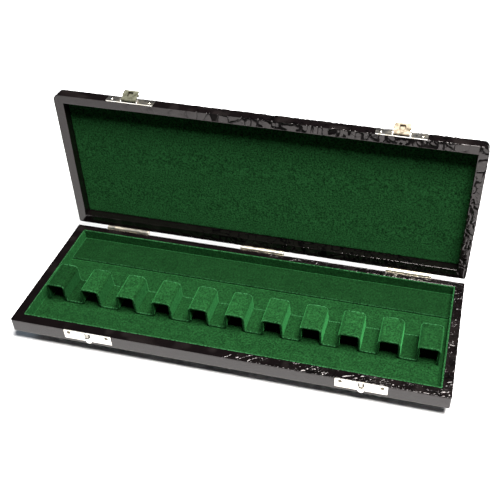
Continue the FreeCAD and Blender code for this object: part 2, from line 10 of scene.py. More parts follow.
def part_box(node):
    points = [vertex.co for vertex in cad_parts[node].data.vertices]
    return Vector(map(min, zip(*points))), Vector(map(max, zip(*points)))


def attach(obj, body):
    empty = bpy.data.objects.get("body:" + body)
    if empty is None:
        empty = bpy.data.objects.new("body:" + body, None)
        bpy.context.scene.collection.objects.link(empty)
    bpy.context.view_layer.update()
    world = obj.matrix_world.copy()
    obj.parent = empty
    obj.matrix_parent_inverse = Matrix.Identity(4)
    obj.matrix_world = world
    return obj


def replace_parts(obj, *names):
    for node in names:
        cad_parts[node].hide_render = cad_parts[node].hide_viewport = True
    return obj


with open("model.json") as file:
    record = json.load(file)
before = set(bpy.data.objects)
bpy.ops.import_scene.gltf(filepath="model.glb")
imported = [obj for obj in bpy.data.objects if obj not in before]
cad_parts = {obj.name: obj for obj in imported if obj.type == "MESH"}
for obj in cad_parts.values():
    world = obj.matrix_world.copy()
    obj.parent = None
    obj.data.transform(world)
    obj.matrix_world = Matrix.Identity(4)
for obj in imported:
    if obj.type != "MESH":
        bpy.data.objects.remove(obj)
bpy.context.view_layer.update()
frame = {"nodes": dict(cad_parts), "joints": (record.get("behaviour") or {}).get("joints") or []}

# A fountain pen case standing open: two trays in black crocodile-embossed leatherette, lined with green
# velvet. Lengths are in metres. The lid is shaped lying on its back, rim up, and is then carried to its
# open place.

MM = 0.001
SEED = 7
LID_SEED = SEED + 100


def mm(*values):
    """Millimetres to metres."""
    return values[0] * MM if len(values) == 1 else tuple(v * MM for v in values)


# ---------------------------------------------------------------- places read from the frame

joints = {joint["name"]: joint for joint in frame["joints"]}
hinge_point = Vector(joints["lid_hinge"]["pos_m"])
open_angle = math.radians(joints["lid_hinge"]["range_deg"][1])
OPENING = Matrix.Rotation(-open_angle, 4, "X")
OPENED = Matrix.Translation(hinge_point) @ OPENING @ Matrix.Translation(-hinge_point)
TURNED_OVER = Matrix.Rotation(math.pi, 4, "X")
LID_PLACE = OPENED @ TURNED_OVER


def lid_box(node):
    """Box of a lid node, in the frame where the lid lies on its back with its rim up."""
    back = np.array(LID_PLACE.inverted())
    points = np.array([v.co for v in frame["nodes"][node].data.vertices])
    points = points @ back[:3, :3].T + back[:3, 3]
    return Vector(points.min(0)), Vector(points.max(0))


# ---------------------------------------------------------------- repeatable noise on points


def smoothstep(low, high, x):
    """0 below low, 1 above high and a smooth rise between them."""
    t = np.clip((x - low) / (high - low), 0.0, 1.0)
    return t * t * (3.0 - 2.0 * t)


def scatter(cells, seed):
    """A repeatable random number from 0 to 1 for each whole-number cell."""
    x, y, z = cells.astype(np.int64).astype(np.uint32).T
    mixed = x * np.uint32(374761393) + y * np.uint32(668265263) + z * np.uint32(2246822519)
    mixed = mixed + np.uint32((seed * 3266489917) % 2**32)
    mixed = (mixed ^ (mixed >> np.uint32(13))) * np.uint32(1274126177)
    mixed = (mixed ^ (mixed >> np.uint32(16))) * np.uint32(2654435769)
    return (mixed ^ (mixed >> np.uint32(15))).astype(float) / 2**32


def soft_noise(points, cell, seed):
    """Smooth noise from -1 to 1 with blobs about as wide as cell."""
    q = points / cell
    corner = np.floor(q)
    t = q - corner
    t = t * t * (3.0 - 2.0 * t)
    total = np.zeros(len(points))
    for step in np.ndindex(2, 2, 2):
        step = np.array(step)
        weight = np.prod(np.where(step == 1, t, 1.0 - t), axis=1)
        total += weight * scatter(corner + step, seed)
    return 2.0 * total - 1.0


def noise_vectors(points, cell, seed):
    """Three soft noises side by side, to push points about."""
    return np.stack([soft_noise(points, cell, seed + k) for k in range(3)], axis=1)


def from_cell_border(points, size, seed, jitter):
    """How far each point is from the border of its irregular cell."""
    q = points / np.array(size)
    corner = np.floor(q)
    nearest = np.full(len(points), 9.0)
    second = np.full(len(points), 9.0)
    for step in np.ndindex(3, 3, 3):
        cell = corner + np.array(step) - 1
        offset = np.stack([scatter(cell, seed + k) for k in range(3)], axis=1)
        centre = cell + 0.5 + jitter * (offset - 0.5)
        distance = np.linalg.norm(q - centre, axis=1)
        closer = distance < nearest
        second = np.where(closer, nearest, np.minimum(second, distance))
        nearest = np.minimum(nearest, distance)
    return second - nearest


# ---------------------------------------------------------------- mesh helpers


def new_piece(name, points, faces, material, body, smooth=True):
    """A mesh piece in the row frame that rides on a body."""
    mesh = bpy.data.meshes.new(name)
    mesh.from_pydata([tuple(p) for p in points], [], [tuple(f) for f in faces])
    mesh.validate()
    mesh.update()
    mesh.polygons.foreach_set("use_smooth", [smooth] * len(mesh.polygons))
    mesh.materials.append(material)
    piece = bpy.data.objects.new(name, mesh)
    bpy.context.scene.collection.objects.link(piece)
    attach(piece, body)
    return piece


def vertex_normals(points, faces):
    """Normals of a quad mesh at its points."""
    p = np.asarray(points)
    f = np.asarray(faces)
    normal = np.cross(p[f[:, 2]] - p[f[:, 0]], p[f[:, 3]] - p[f[:, 1]])
    total = np.zeros_like(p)
    for k in range(4):
        np.add.at(total, f[:, k], normal)
    return total / np.maximum(np.linalg.norm(total, axis=1, keepdims=True), 1e-12)


def set_attribute(piece, name, values):
    """Stores a number at each point, for the materials to read."""
    attribute = piece.data.attributes.new(name, "FLOAT", "POINT")
    attribute.data.foreach_set("value", np.asarray(values, np.float32))


def moved(points, matrix):
    """The points carried by a matrix."""
    m = np.array(matrix)
    return np.asarray(points) @ m[:3, :3].T + m[:3, 3]


def sheet_faces(rows, columns, closed_columns=False):
    """Quads of a grid of points stored row by row."""
    faces = []
    last_column = columns if closed_columns else columns - 1
    for i in range(rows - 1):
        here, beyond = i * columns, (i + 1) * columns
        for j in range(last_column):
            j2 = (j + 1) % columns
            faces.append((here + j, beyond + j, beyond + j2, here + j2))
    return faces


# ---------------------------------------------------------------- materials


class Paint:
    """A short way to write a node material."""

    def __init__(self, name):
        self.material = bpy.data.materials.new(name)
        self.material.use_nodes = True
        self.tree = self.material.node_tree
        self.tree.nodes.clear()
        self.output = self.tree.nodes.new("ShaderNodeOutputMaterial")
        self.surface = self.add("ShaderNodeBsdfPrincipled")
        self.link(self.surface.outputs["BSDF"], self.output.inputs["Surface"])
        coordinates = self.add("ShaderNodeTexCoord")
        self.place = coordinates.outputs["Object"]

    def add(self, kind, **inputs):
        """A new node; an underscore in an input's name stands for a space."""
        node = self.tree.nodes.new(kind)
        for name, value in inputs.items():
            self.set(node, name, value)
        return node

    def set(self, node, name, value):
        """Links an input to a socket, or gives it a plain value."""
        socket = node.inputs[name.replace("_", " ")]
        if isinstance(value, bpy.types.NodeSocket):
            self.link(value, socket)
        else:
            socket.default_value = value

    def link(self, start, end):
        self.tree.links.new(start, end)

    def noise(self, scale, detail=3.0, roughness=0.6, stretch=(1, 1, 1), turn=0.0):
        """Noise, drawn out along the axes where stretch is below 1, with those axes turned about Z."""
        place = self.place
        if stretch != (1, 1, 1):
            drawn_out = tuple(1 / amount for amount in stretch)
            mapping = self.add("ShaderNodeMapping")
            mapping.vector_type = "TEXTURE"
            self.link(self.place, mapping.inputs["Vector"])
            self.set(mapping, "Scale", drawn_out)
            self.set(mapping, "Rotation", (0.0, 0.0, turn))
            place = mapping.outputs["Vector"]
        node = self.add("ShaderNodeTexNoise", Vector=place, Scale=scale, Detail=detail, Roughness=roughness)
        return node.outputs["Fac"]

    def attribute(self, name):
        """A number stored at the points of the mesh."""
        node = self.add("ShaderNodeAttribute")
        node.attribute_name = name
        return node.outputs["Fac"]

    def remap(self, value, low, high, to_low, to_high):
        """The value carried from one range to another, and held inside it."""
        node = self.add("ShaderNodeMapRange", Value=value, From_Min=low, From_Max=high)
        self.set(node, "To Min", to_low)
        self.set(node, "To Max", to_high)
        return node.outputs["Result"]

    def math(self, operation, a, b=0.0):
        node = self.add("ShaderNodeMath")
        node.operation = operation
        for socket, value in zip(node.inputs, (a, b)):
            if isinstance(value, bpy.types.NodeSocket):
                self.link(value, socket)
            else:
                socket.default_value = value
        return node.outputs["Value"]

    def mix(self, factor, a, b):
        """Colour a where the factor is 0, and colour b where it is 1."""
        node = self.add("ShaderNodeMix")
        node.data_type = "RGBA"
        for socket, value in ((node.inputs[0], factor), (node.inputs[6], a), (node.inputs[7], b)):
            if isinstance(value, bpy.types.NodeSocket):
                self.link(value, socket)
            else:
                socket.default_value = value
        return node.outputs[2]

    def scaled(self, colour, factor):
        """A colour made lighter or darker by a factor."""
        node = self.add("ShaderNodeVectorMath")
        node.operation = "SCALE"
        self.link(colour, node.inputs[0])
        self.link(factor, node.inputs["Scale"])
        return node.outputs["Vector"]

    def bump(self, height, strength, distance):
        """A normal that shows a height."""
        node = self.add("ShaderNodeBump", Height=height, Strength=strength, Distance=distance)
        return node.outputs["Normal"]

    def finish(self, **inputs):
        """Sets the surface's inputs and gives back the material."""
        for name, value in inputs.items():
            self.set(self.surface, name, value)
        return self.material


def rgb(red, green, blue):
    """A solid colour."""
    return (red, green, blue, 1.0)


LEATHER_BLACK = rgb(0.0030, 0.0021, 0.0023)
LEATHER_SMEARED = rgb(0.0048, 0.0033, 0.0033)
# Colour in the creases: settled dirt and painted shade.
LEATHER_CREASE_SHADE = rgb(0.0010, 0.0008, 0.0009)
LEATHER_WORN = rgb(0.022, 0.018, 0.017)
LEATHER_SHEEN = rgb(1.0, 0.93, 0.92)
# Thin raised lines that catch the light, along the middle level of a noise: how far they are turned, how far
# the noise may be from that level, their height, and how much of the fine grain is added to them.
GLINT_TURN = math.radians(36)
GLINT_WIDTH = 0.055
GLINT_HEIGHT = mm(0.6)
GRAIN_PART = 0.03

# Darker and lighter colour of the pile, and the colour of the painted highlight along the edges.
BASE_PILE = rgb(0.0048, 0.0275, 0.0070), rgb(0.0062, 0.0345, 0.0088)
# The lid's pile is paler than the base's: partly for its nap, which lies another way, and partly as painted
# light on the upright panel.
LID_PILE = rgb(0.0118, 0.0600, 0.0172), rgb(0.0142, 0.0700, 0.0203)
PILE_HIGHLIGHT = rgb(0.030, 0.120, 0.045)
PILE_SHEEN = rgb(0.08, 0.50, 0.14)
# Painted sheen: how much paler the pile is painted where it is seen from the side.
PAINTED_SHEEN_GAIN = 2.2

# Colour of the painted shade on the metal, and how far the occlusion that sets it looks.
PAINTED_SHADE = rgb(0.030, 0.022, 0.014)
SHADE_REACH = mm(1.6)
# The hook of each base plate, round which shade is painted: its distance from the middle of the case, half
# its width, and the heights of its foot and its top.
CATCH_X = mm(137)
HOOK_HALF = mm(2.3)
HOOK_FOOT = mm(9.7)
HOOK_TOP = mm(13.6)


def leatherette():
    """Glossy warm-black leatherette: dull and darker in the embossed creases, with settled dirt and painted
    shade there, slightly worn on the edges.
    """
    paint = Paint("leatherette_black")
    crease = paint.remap(paint.attribute("groove"), 0.30, 0.75, 0.0, 1.0)
    grain = paint.noise(900, 4, 0.7)
    smear = paint.noise(60, 2, 0.5)
    colour = paint.mix(paint.remap(smear, 0.35, 0.75, 0.0, 0.5), LEATHER_BLACK, LEATHER_SMEARED)
    # The creases are darkened with settled dirt and painted shade.
    colour = paint.mix(crease, colour, LEATHER_CREASE_SHADE)
    worn = paint.remap(paint.attribute("wear"), 0.0, 1.0, 0.0, 0.3)
    colour = paint.mix(worn, colour, LEATHER_WORN)
    rough = paint.math("ADD", paint.remap(smear, 0.3, 0.7, 0.07, 0.13), paint.remap(crease, 0, 1, 0, 0.25))
    shine = paint.remap(crease, 0.0, 1.0, 0.43, 0.04)
    wrinkle = paint.noise(190, 1, 0.5, (0.30, 1.0, 1.0), GLINT_TURN)
    from_line = paint.math("ABSOLUTE", paint.math("SUBTRACT", wrinkle, 0.5))
    ridge = paint.remap(from_line, 0.0, GLINT_WIDTH, 1.0, 0.0)
    sparse = paint.remap(paint.noise(75, 1, 0.5), 0.43, 0.53, 0.0, 1.0)
    ridge = paint.math("MULTIPLY", ridge, sparse)
    height = paint.math("MULTIPLY", ridge, paint.attribute("glint"))
    height = paint.math("ADD", height, paint.math("MULTIPLY", grain, GRAIN_PART))
    normal = paint.bump(height, 1.0, GLINT_HEIGHT)
    return paint.finish(
        Base_Color=colour, Roughness=rough, Specular_IOR_Level=shine, Normal=normal,
        Specular_Tint=LEATHER_SHEEN,
    )


def velvet(name, dark, light, standing, grain_range):
    """Cut-pile velvet: mottled nap, speckled fibres, a painted sheen that makes it paler towards grazing
    angles, and a painted highlight along its edges.

    The colour is scaled by standing where the pile attribute is 1, and down by as much where it is -1:
    painted light and painted shade.
    """
    paint = Paint(name)
    nap = paint.noise(70, 3, 0.6)
    stroke = paint.noise(170, 2, 0.5, (0.4, 1.0, 1.0))
    tuft = paint.noise(600, 2, 0.6)
    fibre = paint.noise(1300, 2, 0.7)
    blend = paint.math("ADD", paint.math("MULTIPLY", nap, 0.5), paint.math("MULTIPLY", stroke, 0.5))
    colour = paint.mix(paint.remap(blend, 0.38, 0.62, 0.0, 1.0), dark, light)
    # Painted sheen: the colour turns paler towards grazing angles.
    facing = paint.add("ShaderNodeLayerWeight", Blend=0.5).outputs["Facing"]
    glow = rgb(*(PAINTED_SHEEN_GAIN * c for c in light[:3]))
    colour = paint.mix(paint.remap(facing, 0.45, 0.95, 0.0, 1.0), colour, glow)
    # Painted light and painted shade, set by the pile attribute.
    painted_light = paint.remap(paint.attribute("pile"), -1.0, 1.0, 2.0 - standing, standing)
    colour = paint.scaled(colour, painted_light)
    # Painted highlight along the edges, speckled by the tufts.
    rim = paint.math("MULTIPLY", paint.attribute("edge"), paint.remap(tuft, 0.38, 0.58, 0.1, 1.0))
    colour = paint.mix(rim, colour, PILE_HIGHLIGHT)
    grain = paint.math("ADD", paint.math("MULTIPLY", tuft, 0.6), paint.math("MULTIPLY", fibre, 0.4))
    shade = paint.remap(grain, 0.36, 0.66, *grain_range)
    colour = paint.scaled(colour, shade)
    height = paint.math("ADD", grain, paint.math("MULTIPLY", nap, 1.5))
    normal = paint.bump(height, 0.5, mm(0.4))
    return paint.finish(
        Base_Color=colour, Roughness=0.95, Specular_IOR_Level=0.02, Normal=normal,
        Sheen_Weight=0.35, Sheen_Roughness=0.4, Sheen_Tint=PILE_SHEEN,
    )


def hook_gap_shade(paint):
    """Painted shade in the gap round the hook bent out of each base plate: two legs joined below."""
    axes = paint.add("ShaderNodeSeparateXYZ", Vector=paint.place)
    x, z = axes.outputs["X"], axes.outputs["Z"]
    from_middle = paint.math("ABSOLUTE", x)
    from_catch = paint.math("ABSOLUTE", paint.math("SUBTRACT", from_middle, CATCH_X))
    leg = paint.math("SUBTRACT", from_catch, HOOK_HALF)
    foot = paint.math("SUBTRACT", HOOK_FOOT, z)
    distance = paint.math("ABSOLUTE", paint.math("MAXIMUM", leg, foot))
    line = paint.remap(distance, mm(0.4), mm(0.9), 1.0, 0.0)
    return paint.math("MULTIPLY", line, paint.remap(z, HOOK_TOP, HOOK_TOP + mm(0.6), 1.0, 0.0))


def metal(name, colour, tint, rough, relief=0.2, metallic=1.0, occlusion_shade=0.0, gloss=0.5, gap_shade=None):
    """Plated metal with fine drawn lines, dull patches, a tint here and there, and painted shade, duller too,
    in its corners and hollows.
    """
    paint = Paint(name)
    patch = paint.noise(240, 3, 0.6)
    lines = paint.noise(1200, 2, 0.7, (0.15, 1.0, 1.0))
    shade = paint.mix(paint.remap(patch, 0.42, 0.7, 0.0, 1.0), colour, tint)
    patchy = paint.remap(patch, 0.3, 0.7, rough * 0.7, rough * 1.3)
    drawn = paint.remap(lines, 0.4, 0.7, 0, 0.08)
    roughness = paint.math("ADD", patchy, drawn)
    specular = gloss
    if occlusion_shade:
        # Painted shade where ambient occlusion finds the metal hemmed in, with more roughness and less shine
        # there.
        open_sky = paint.add("ShaderNodeAmbientOcclusion", Distance=SHADE_REACH).outputs["AO"]
        shaded = paint.remap(open_sky, 0.50, 0.95, occlusion_shade, 0.0)
        if gap_shade:
            shaded = paint.math("MAXIMUM", shaded, gap_shade(paint))
        shade = paint.mix(shaded, shade, PAINTED_SHADE)
        roughness = paint.math("ADD", roughness, paint.math("MULTIPLY", shaded, 0.3))
        specular = paint.remap(shaded, 0.0, 1.0, gloss, 0.05)
    normal = paint.bump(paint.math("ADD", lines, patch), relief, mm(0.04))
    return paint.finish(
        Base_Color=shade, Metallic=metallic, Roughness=roughness, Specular_IOR_Level=specular, Normal=normal,
    )


def board():
    """Plain wood-fibre board."""
    paint = Paint("core_board")
    grain = paint.noise(140, 5, 0.65, (0.12, 1.0, 1.0))
    colour = paint.mix(paint.remap(grain, 0.35, 0.7, 0, 1), rgb(0.32, 0.21, 0.12), rgb(0.48, 0.35, 0.22))
    return paint.finish(Base_Color=colour, Roughness=0.8, Normal=paint.bump(grain, 0.3, mm(0.1)))


def underside_cloth():
    """Thin black woven cloth."""
    paint = Paint("underside_cloth")
    across = paint.add("ShaderNodeTexWave", Vector=paint.place, Scale=420.0, Distortion=0.6)
    along = paint.add("ShaderNodeTexWave", Vector=paint.place, Scale=420.0, Distortion=0.6)
    across.bands_direction = "X"
    along.bands_direction = "Y"
    weave = paint.math("MULTIPLY", across.outputs["Fac"], along.outputs["Fac"])
    colour = paint.mix(weave, rgb(0.006, 0.006, 0.007), rgb(0.03, 0.03, 0.032))
    return paint.finish(Base_Color=colour, Roughness=0.85, Normal=paint.bump(weave, 0.5, mm(0.1)))


LEATHERETTE = leatherette()
VELVET = velvet("green_velvet", *BASE_PILE, 1.35, (0.35, 1.85))
LID_VELVET = velvet("green_velvet_lid", *LID_PILE, 1.0, (0.12, 2.2))
HINGE_NICKEL = metal("hinge_nickel", rgb(0.88, 0.83, 0.72), rgb(0.76, 0.68, 0.52), 0.38, 0.06)
# The catch plates and the nails get painted shade in their hollows.
KEEPER_NICKEL = metal(
    "keeper_nickel", rgb(0.80, 0.78, 0.74), rgb(0.68, 0.63, 0.52), 0.30, occlusion_shade=0.95, gap_shade=hook_gap_shade
)
CATCH_NICKEL = metal("catch_nickel", rgb(0.80, 0.78, 0.74), rgb(0.68, 0.63, 0.52), 0.30, occlusion_shade=0.95)
LEVER_METAL = metal(
    "lever_brass_nickel", rgb(0.36, 0.30, 0.22), rgb(0.045, 0.032, 0.014), 0.55, 0.1, 0.0, 0.97, 0.08
)
TARNISHED_LEVER = metal(
    "lever_tarnished", rgb(0.105, 0.105, 0.075), rgb(0.035, 0.034, 0.020), 0.5, 0.1, 0.0, 0.97, 0.10
)
PIN_STEEL = metal("pin_steel", rgb(0.55, 0.55, 0.56), rgb(0.42, 0.40, 0.37), 0.3)
NAIL_NICKEL = metal("nail_nickel", rgb(0.82, 0.80, 0.76), rgb(0.66, 0.58, 0.42), 0.22, occlusion_shade=0.8)
NAIL_DULL = metal("nail_dull", rgb(0.16, 0.14, 0.11), rgb(0.10, 0.08, 0.05), 0.45, metallic=0.7, occlusion_shade=0.9)
BOARD = board()
UNDERSIDE = underside_cloth()

# ---------------------------------------------------------------- leatherette

FOLD_SIZE = mm(5.0)
CRACK_SIZE = mm(10, 13, 13)
CRACK_WIDTH = 0.17
WARP_SIZE = mm(11)
WARP_REACH = mm(3.0)
GROOVE_DEPTH = mm(0.62)
SKIN_OFFSET = mm(0.05)
SKIN_UNEVEN = mm(0.03)
BASE_CORNER = mm(2.0)
LID_CORNER = mm(7.0)
# Radius of the corners at the hinges, as a part of the front corners' radius.
HINGE_CORNER_PART = 0.35
# Whether the hinges are at the high y side of the tray as it is shaped; the lid is shaped lying on its back.
HINGES_FAR = {"base": True, "lid": False}
# How much fuller than the CAD the skin is all round, and how much is added to that at the hinges.
SKIN_SWELL = mm(0.3)
HINGE_SWELL = mm(0.4)
# How much of the grain is lost on the hinge wall, and how much is left on the inner edge of the rim.
HINGE_WALL_SMOOTHING = 0.85
RIM_GRAIN_INSIDE = 0.25
LINING_GAP = mm(0.3)
BASE_INNER_WALL = mm(4)
BASE_TURN_IN = mm(8)
LID_TURN_IN = mm(4)
RIM_SPAN = mm(9)
GLINT = {"base": 1.0, "lid": 0.15}
RING_STEP = mm(0.72)
CROSS_STEP = mm(0.8)
OUTER_ROUND = mm(0.7)
INNER_ROUND = mm(0.6)
CORNER_STEPS = 5


def fold_lines(points, size, width, seed):
    """Winding lines: 1 along the zero lines of a smooth noise, 0 away from them."""
    level = soft_noise(points, size, seed)
    return 1.0 - smoothstep(0.0, width, np.abs(level))


def crocodile(points, press, seed):
    """Depth of the embossing under the surface, from 0 on a scale to 1 in a groove.

    press holds how deeply the cracks, the winding wrinkles and the fine slanted lines are pressed.
    """
    cracks, wrinkles, slants = press
    warped = points + WARP_REACH * noise_vectors(points, WARP_SIZE, seed)
    border = from_cell_border(warped, CRACK_SIZE, seed + 11, 0.9)
    crack = 1.0 - smoothstep(0.0, CRACK_WIDTH, border)
    wrinkle = fold_lines(warped * (1.25, 0.8, 1.0), FOLD_SIZE, 0.32, seed + 23)
    leaning = warped + warped[:, [1, 0, 2]] * (0.8, 0.0, 0.0)
    slant = fold_lines(leaning * (1.0, 0.35, 0.35), FOLD_SIZE, 0.30, seed + 29)
    deepest = np.maximum(np.maximum(cracks * crack, wrinkles * wrinkle), slants * slant)
    return np.clip(deepest, 0.0, 1.0)


def rounded_rectangle(low, high, radius, long_count, short_count, body):
    """Points round a rectangle, anticlockwise from above, with the same number for every rectangle.

    The corners at the hinges are sharper than the front ones.
    """
    sharp = HINGE_CORNER_PART * radius
    near, far = (radius, sharp) if HINGES_FAR[body] else (sharp, radius)
    corners = (
        ((high[0] - near, low[1] + near), near, -90, long_count),
        ((high[0] - far, high[1] - far), far, 0, short_count),
        ((low[0] + far, high[1] - far), far, 90, long_count),
        ((low[0] + near, low[1] + near), near, 180, short_count),
    )
    arcs = []
    for (x, y), bend, start, _ in corners:
        angles = np.radians(start + 90 * np.arange(CORNER_STEPS + 1) / CORNER_STEPS)
        arcs.append(np.stack([x + bend * np.cos(angles), y + bend * np.sin(angles)], axis=1))
    points = []
    for k, (_, _, _, count) in enumerate(corners):
        before = arcs[k - 1][-1]
        t = (np.arange(1, count) / count)[:, None]
        points.append(before + (arcs[k][0] - before) * t)
        points.append(arcs[k])
    return np.concatenate(points)


def tray_stations(outer, inner, bottom, top, inner_bottom, turn_in, round_corner):
    """The tray's skin from the foot of its inner wall, over the rim, down the outside and under the bottom.

    Each station is (low corner, high corner, corner radius, height).
    """
    (olow, ohigh), (ilow, ihigh) = outer, inner
    tiny = mm(0.25)

    def grown(amount):
        return ilow - amount, ihigh + amount

    def shrunk(amount):
        return olow + amount, ohigh - amount

    def corner(inset):
        return max(tiny, round_corner - inset)

    stations = []
    wall = top - INNER_ROUND - inner_bottom
    for t in np.linspace(0, 1, max(2, int(wall / CROSS_STEP)) + 1):
        stations.append((*grown(0.0), tiny, inner_bottom + wall * t))
    for a in np.radians([30, 60, 90]):
        low, high = grown(INNER_ROUND * (1 - math.cos(a)))
        stations.append((low, high, tiny, top - INNER_ROUND + INNER_ROUND * math.sin(a)))
    rim_inner, rim_outer = grown(INNER_ROUND), shrunk(OUTER_ROUND)
    steps = int(RIM_SPAN / CROSS_STEP)
    for t in np.linspace(0, 1, steps + 1)[1:]:
        low = rim_inner[0] + (rim_outer[0] - rim_inner[0]) * t
        high = rim_inner[1] + (rim_outer[1] - rim_inner[1]) * t
        stations.append((low, high, corner(low[0] - olow[0]), top))
    for a in np.radians([18, 36, 54, 72, 90]):
        inset = OUTER_ROUND * (1 - math.sin(a))
        stations.append((*shrunk(inset), corner(inset), top - OUTER_ROUND + OUTER_ROUND * math.cos(a)))
    wall = top - bottom - 2 * OUTER_ROUND
    for t in np.linspace(0, 1, int(wall / CROSS_STEP) + 1)[1:]:
        stations.append((*shrunk(0.0), round_corner, top - OUTER_ROUND - wall * t))
    for a in np.radians([18, 36, 54, 72, 90]):
        inset = OUTER_ROUND * (1 - math.cos(a))
        stations.append((*shrunk(inset), corner(inset), bottom + OUTER_ROUND - OUTER_ROUND * math.sin(a)))
    for t in np.linspace(0, 1, 5)[1:]:
        inset = OUTER_ROUND + (turn_in - OUTER_ROUND) * t
        stations.append((*shrunk(inset), corner(inset), bottom))
    return stations


def embossed(name, points, faces, press, seed, matrix, body, wear):
    """Presses the crocodile grain into a skin."""
    depth = crocodile(points, press, seed)
    normals = vertex_normals(points, faces)
    settle = SKIN_UNEVEN * soft_noise(points, mm(22), seed + 40)
    points = points + normals * (SKIN_OFFSET + settle - GROOVE_DEPTH * depth)[:, None]
    piece = new_piece(name, moved(points, matrix), faces, LEATHERETTE, body)
    set_attribute(piece, "groove", depth)
    set_attribute(piece, "glint", GLINT[body] * np.clip(np.maximum(press[0], press[1]), 0.0, 1.0))
    set_attribute(piece, "wear", wear)
    return piece


def tray_skin(
    name, outer, inner, bottom, top, inner_bottom, turn_in, round_corner, press, seed, matrix, body
):
    """The skin of a tray; press gives how deeply each kind of grain is embossed at each point."""
    long_count = int((outer[1][0] - outer[0][0]) / RING_STEP)
    short_count = int((outer[1][1] - outer[0][1]) / RING_STEP)
    rings = []
    wear = []
    inner_edge = []
    for low, high, radius, z in tray_stations(outer, inner, bottom, top, inner_bottom, turn_in, round_corner):
        ring = rounded_rectangle(low, high, radius, long_count, short_count, body)
        rings.append(np.column_stack([ring, np.full(len(ring), z)]))
        near_edge = min(abs(low[1] - outer[0][1]), OUTER_ROUND) + min(top - z, OUTER_ROUND)
        wear.append(np.full(len(ring), max(0.0, 1.0 - abs(near_edge - mm(0.6)) / mm(0.6))))
        on_edge = abs(top - z) < INNER_ROUND and abs(low[0] - inner[0][0]) <= INNER_ROUND
        inner_edge.append(np.full(len(ring), RIM_GRAIN_INSIDE if on_edge else 1.0))
    columns = len(rings[0])
    points = np.concatenate(rings)
    wear = np.concatenate(wear) * np.clip(soft_noise(points, mm(9), seed + 50) * 1.6, 0, 1)
    edges = np.concatenate(inner_edge)
    from_hinges = outer[1][1] - points[:, 1] if HINGES_FAR[body] else points[:, 1] - outer[0][1]
    hinge_side = 1.0 - smoothstep(mm(0.5), mm(2.5), from_hinges)
    pressed = [kind * edges * (1.0 - HINGE_WALL_SMOOTHING * hinge_side) for kind in press(points, top)]
    faces = sheet_faces(len(rings), columns, closed_columns=True)
    return embossed(name, points, faces, pressed, seed, matrix, body, wear)


def zone(values, start, full, fall, end):
    """1 between full and fall, and 0 before start and after end."""
    return smoothstep(start, full, values) * (1.0 - smoothstep(fall, end, values))


def base_press(points, top):
    """The grain is pressed deepest on the rim towards the right and hardly at all on the outer walls."""
    across = smoothstep(mm(-40), mm(60), points[:, 0])
    on_rim = smoothstep(top - mm(1.6), top - mm(0.4), points[:, 2])
    patches = 0.75 + 0.25 * soft_noise(points, mm(30), SEED + 31)
    level = patches * (0.10 + 0.90 * on_rim)
    return [level * (0.12 + 0.88 * across), level * across, level * 0.4 * (1.0 - across)]


def lid_press(points, _top):
    """Cracks left of the middle, dense wrinkles right of it, and smoother ends with fine slanted lines.

    The height of the rim makes no difference here; it is there so that both trays are pressed alike.
    """
    x = points[:, 0]
    patches = 0.85 + 0.25 * soft_noise(points, mm(35), SEED + 33)
    left_cracks = 0.8 * zone(x, mm(-95), mm(-65), mm(-10), mm(10))
    right_cracks = 0.7 * zone(x, mm(90), mm(110), mm(190), mm(215))
    cracks = 0.15 + left_cracks + right_cracks
    dense = 1.2 * zone(x, mm(-15), mm(5), mm(170), mm(215))
    sparse = 0.3 * zone(x, mm(-100), mm(-70), mm(-20), mm(0))
    at_end = 1.2 * smoothstep(mm(208), mm(212), x)
    wrinkles = np.maximum(dense + sparse, at_end)
    slants = 0.10 + 0.5 * zone(x, mm(-160), mm(-135), mm(-80), mm(-60))
    return [patches * cracks, patches * wrinkles, patches * slants]


def rectangle_of(low, high):
    """The plan of a box."""
    return np.array([low[0], low[1]]), np.array([high[0], high[1]])


def swollen(low, high, body):
    """The outline of a tray's walls, which the soft skin makes a little fuller, most at the hinges."""
    low, high = rectangle_of(low, high)
    at_hinges = np.array([0.0, HINGE_SWELL])
    if HINGES_FAR[body]:
        return low - SKIN_SWELL, high + SKIN_SWELL + at_hinges
    return low - SKIN_SWELL - at_hinges, high + SKIN_SWELL


base_low, base_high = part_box("base_cover")
lining_low = Vector(map(min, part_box("lining_front")[0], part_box("lining_left")[0]))
lining_high = Vector(map(max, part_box("lining_back")[1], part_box("lining_right")[1]))
base_skin = tray_skin(
    "base_leatherette",
    swollen(base_low, base_high, "base"), rectangle_of(lining_low, lining_high),
    base_low.z, base_high.z, base_high.z - BASE_INNER_WALL,
    BASE_TURN_IN, BASE_CORNER, base_press, SEED, Matrix.Identity(4), "base",
)
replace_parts(base_skin, "base_cover")

lid_low, lid_high = lid_box("lid_cover")
lid_lining_low, lid_lining_high = lid_box("lid_lining")
lid_inner = rectangle_of(lid_lining_low, lid_lining_high)
lid_inner = (lid_inner[0] - LINING_GAP, lid_inner[1] + LINING_GAP)
lid_skin = tray_skin(
    "lid_leatherette",
    swollen(lid_low, lid_high, "lid"), lid_inner,
    lid_low.z, lid_high.z, lid_lining_low.z,
    LID_TURN_IN, LID_CORNER, lid_press, LID_SEED, LID_PLACE, "lid",
)
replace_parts(lid_skin, "lid_cover")


def lid_panel():
    """The outside of the lid, laid just under the turned edge of the skin on its walls."""
    inset, step = mm(3), mm(1.05)
    xs = np.linspace(lid_low.x + inset, lid_high.x - inset, int((lid_high.x - lid_low.x) / step))
    ys = np.linspace(lid_low.y + inset, lid_high.y - inset, int((lid_high.y - lid_low.y) / step))
    x, y = np.meshgrid(xs, ys, indexing="xy")
    points = np.column_stack([x.ravel(), y.ravel(), np.full(x.size, lid_low.z + mm(0.02))])
    faces = sheet_faces(len(ys), len(xs))
    wear = np.zeros(len(points))
    pressed = lid_press(points, lid_high.z)
    return embossed("lid_leatherette_top", points, faces, pressed, LID_SEED, LID_PLACE, "lid", wear)


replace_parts(lid_panel(), "lid_cover")

# ---------------------------------------------------------------- velvet boards


